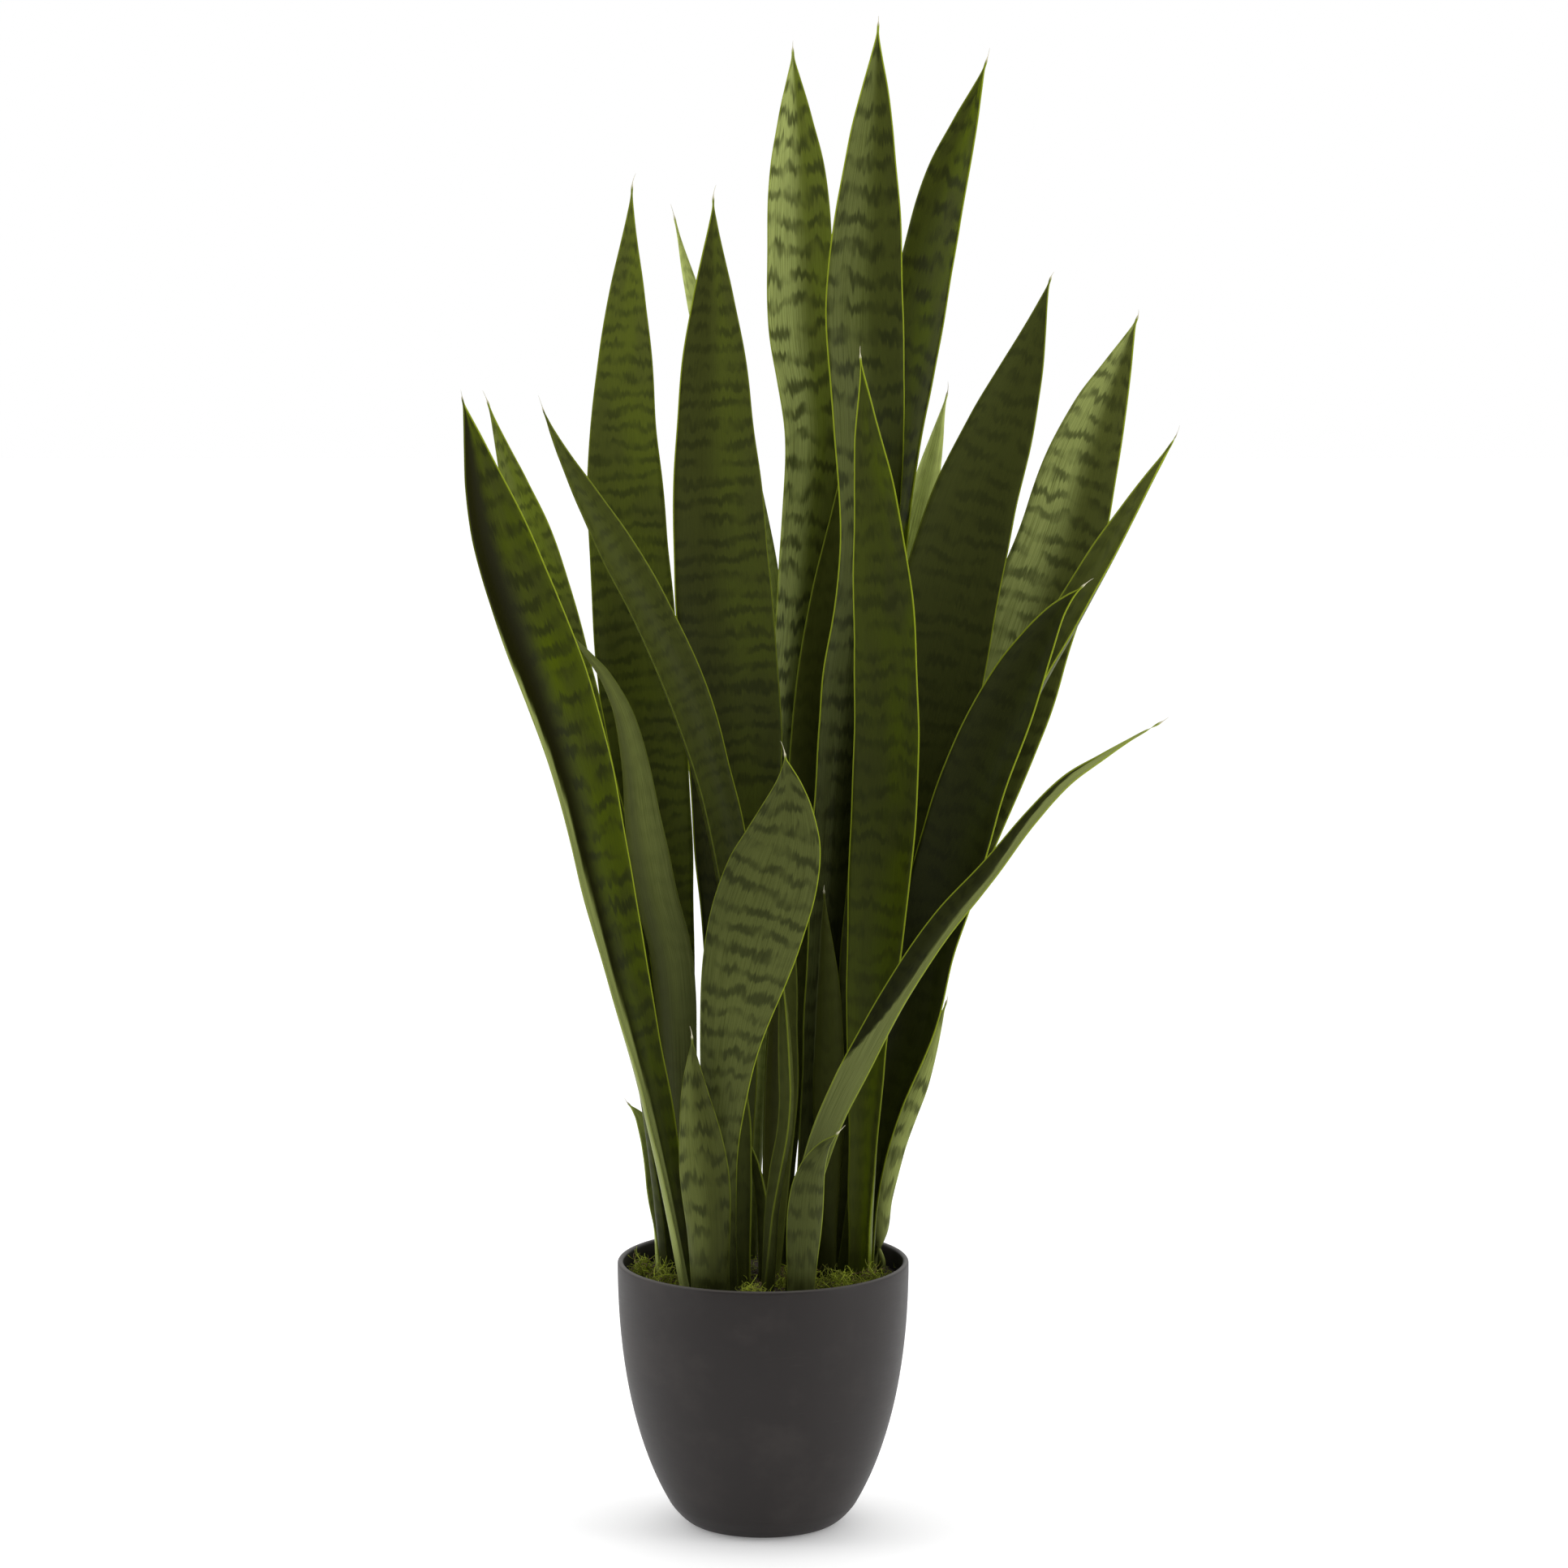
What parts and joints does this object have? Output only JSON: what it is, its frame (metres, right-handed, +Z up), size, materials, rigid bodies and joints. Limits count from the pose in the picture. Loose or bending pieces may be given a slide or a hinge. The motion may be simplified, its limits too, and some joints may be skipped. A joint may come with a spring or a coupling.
{
  "type": "potted snake plant",
  "caption": "Live snake plant of upright, dark-banded, sword-shaped leaves with pale margins, growing from mossy potting mix in a round charcoal planter that stands on its flat foot.",
  "frame": {"origin": "middle of the planter's flat underside, on the planter's upright axis", "axes": "+Z up along the planter's axis; -Y is the front, the side the picture shows; +X is to the right seen from the front"},
  "size_m": [0.4447, 0.1878, 0.957],
  "materials": {
    "leaf": "waxy, dark cross-bands, pale yellow-green margins",
    "pot": "matte charcoal",
    "soil": "loose, fibrous, dark brown",
    "moss": "curled yellow-green strands"
  },
  "bodies": {
    "root": {"pot": "pot", "soil": "soil", "moss_front": "moss", "moss_left_front": "moss", "moss_left": "moss", "moss_right_front": "moss", "moss_right": "moss", "moss_centre": "moss", "moss_back": "moss", "moss_left_back": "moss", "leaf_left_outer": "leaf", "leaf_left_rear": "leaf", "leaf_left_inner": "leaf", "leaf_left_diagonal": "leaf", "leaf_tall_left": "leaf", "leaf_rear_left": "leaf", "leaf_centre_left": "leaf", "leaf_tall_centre": "leaf", "leaf_centre_dark": "leaf", "leaf_tallest": "leaf", "leaf_tall_right": "leaf", "leaf_rear_right": "leaf", "leaf_front_centre": "leaf", "leaf_right_wide": "leaf", "leaf_right_light": "leaf", "leaf_right_folded": "leaf", "leaf_right_low": "leaf", "leaf_right_small": "leaf", "leaf_arching_right": "leaf", "leaf_front_broad": "leaf", "leaf_front_short": "leaf", "leaf_left_hooked": "leaf", "leaf_front_right": "leaf", "leaf_front_narrow": "leaf", "leaf_bud_front": "leaf", "leaf_bud_centre": "leaf", "leaf_dark_centre": "leaf", "leaf_dark_right": "leaf"}
  },
  "joints": []
}
